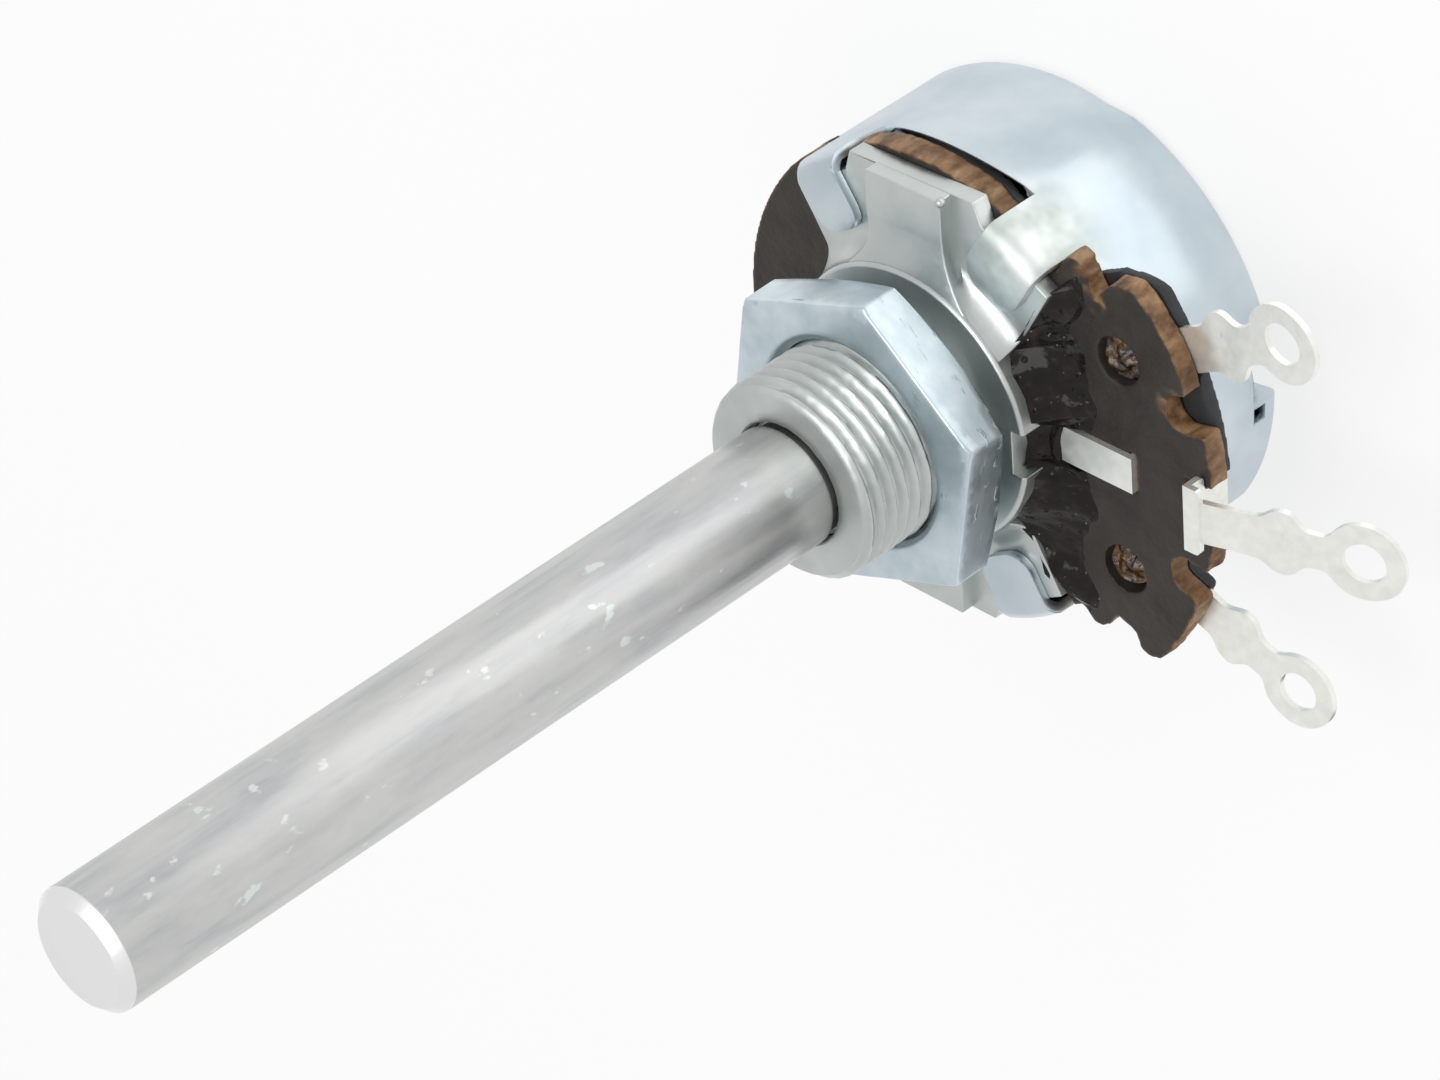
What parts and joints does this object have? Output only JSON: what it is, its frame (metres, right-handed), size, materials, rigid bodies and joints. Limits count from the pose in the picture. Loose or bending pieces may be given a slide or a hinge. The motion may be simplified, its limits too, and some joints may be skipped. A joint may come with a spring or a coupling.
{
  "type": "rotary potentiometer",
  "caption": "Panel-mount rotary potentiometer with a long plain shaft, threaded bush with hex nut, cast bow-tie plate, folded-tab metal can and flat solder lugs on a laminate board",
  "frame": {"origin": "on the shaft's axis, in the face of the boss that seats against the back of a panel", "axes": "+Z along the shaft to its tip; -Y towards the solder lugs; X along the plate's two arms"},
  "size_m": [0.024, 0.0376, 0.0614],
  "materials": {
    "shaft_metal": "turned, satin, with fine streaks along its length",
    "cast_zinc": "die-cast zinc, dull satin grey",
    "nut_zinc": "blue-bright zinc plating, satin",
    "can_zinc": "blue-bright zinc-plated sheet, glossy",
    "tinned_lug": "tinned sheet, silver-white",
    "phenolic_board": "dark phenolic paper laminate with brown cut edges",
    "element_laminate": "dark grey laminate, matt",
    "carbon": "printed or moulded carbon, matt black",
    "contact_brass": "plain brass",
    "spring_bronze": "phosphor bronze strip",
    "steel_small": "plain steel",
    "fibre": "pale fibre washer stock",
    "rotor_phenolic": "brown phenolic laminate",
    "amber_glue": "hardened amber glue",
    "black_lacquer": "glossy wrinkled black lacquer"
  },
  "bodies": {
    "housing": {"bush_plate": "cast_zinc", "terminal_board": "phenolic_board", "element_board": "element_laminate", "resistance_track": "carbon", "collector_ring": "contact_brass", "terminal_right": "tinned_lug", "terminal_left": "tinned_lug", "terminal_centre": "tinned_lug", "rivet_right": "contact_brass", "rivet_left": "contact_brass", "terminal_glue": "amber_glue", "sealing_lacquer": "black_lacquer", "can": "can_zinc"},
    "rotor": {"shaft": "shaft_metal", "thrust_washer": "fibre", "retaining_clip": "steel_small", "rotor_disc": "rotor_phenolic", "wiper_spring": "spring_bronze", "track_button": "carbon", "collector_button": "carbon", "spring_rivets": "steel_small", "stop_plate": "steel_small"},
    "nut": {"mounting_nut": "nut_zinc"}
  },
  "joints": [
    {"name": "shaft_turn", "type": "hinge", "parent": "housing", "child": "rotor", "pos_m": [0, 0, 0], "axis": [0, 0, 1], "range_deg": [-150, 150]},
    {"name": "nut_travel", "type": "slide", "parent": "housing", "child": "nut", "axis": [0, 0, 1], "range_m": [-0.0014, 0.0039]}
  ]
}
